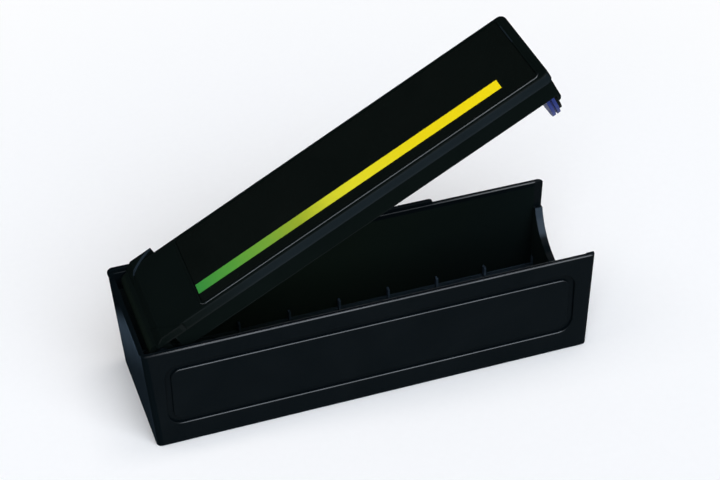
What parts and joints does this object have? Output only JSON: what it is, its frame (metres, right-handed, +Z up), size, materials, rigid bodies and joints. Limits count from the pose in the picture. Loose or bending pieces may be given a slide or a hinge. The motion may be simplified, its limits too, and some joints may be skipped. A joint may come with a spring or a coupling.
{
  "type": "harmonica case",
  "caption": "Hinged hard plastic case for a pocket harmonica: a deep tray with a rounded mouth in one end, and a lid with an inset striped label that turns on hidden pins.",
  "frame": {"origin": "on the tray's underside below the middle of its rim, on the surface that the case stands on", "axes": "+X along the tray from the hinge end to the end that opens, +Y across the tray to its back long face, +Z up; the lid is stored standing open by 28.5 degrees"},
  "size_m": [0.1211, 0.036, 0.0874],
  "materials": {
    "case_plastic": "satin black, slightly cool",
    "lid_plastic": "semi-gloss black",
    "pin_steel": "bright drawn wire",
    "label_print": "glossy black label",
    "stripe_print": "green to yellow print",
    "buffer_rubber": "blue, satin"
  },
  "bodies": {
    "tray": {"case_tray": "case_plastic"},
    "lid": {"lid_shell": "lid_plastic", "hinge_pin_near": "pin_steel", "hinge_pin_far": "pin_steel", "label_plate": "label_print", "label_stripe": "stripe_print", "end_buffer": "buffer_rubber"}
  },
  "joints": [
    {"name": "lid_hinge", "type": "hinge", "parent": "tray", "child": "lid", "pos_m": [-0.05455, 0, 0.0284], "axis": [0, -1, 0], "range_deg": [-28.5, 61.5]}
  ]
}
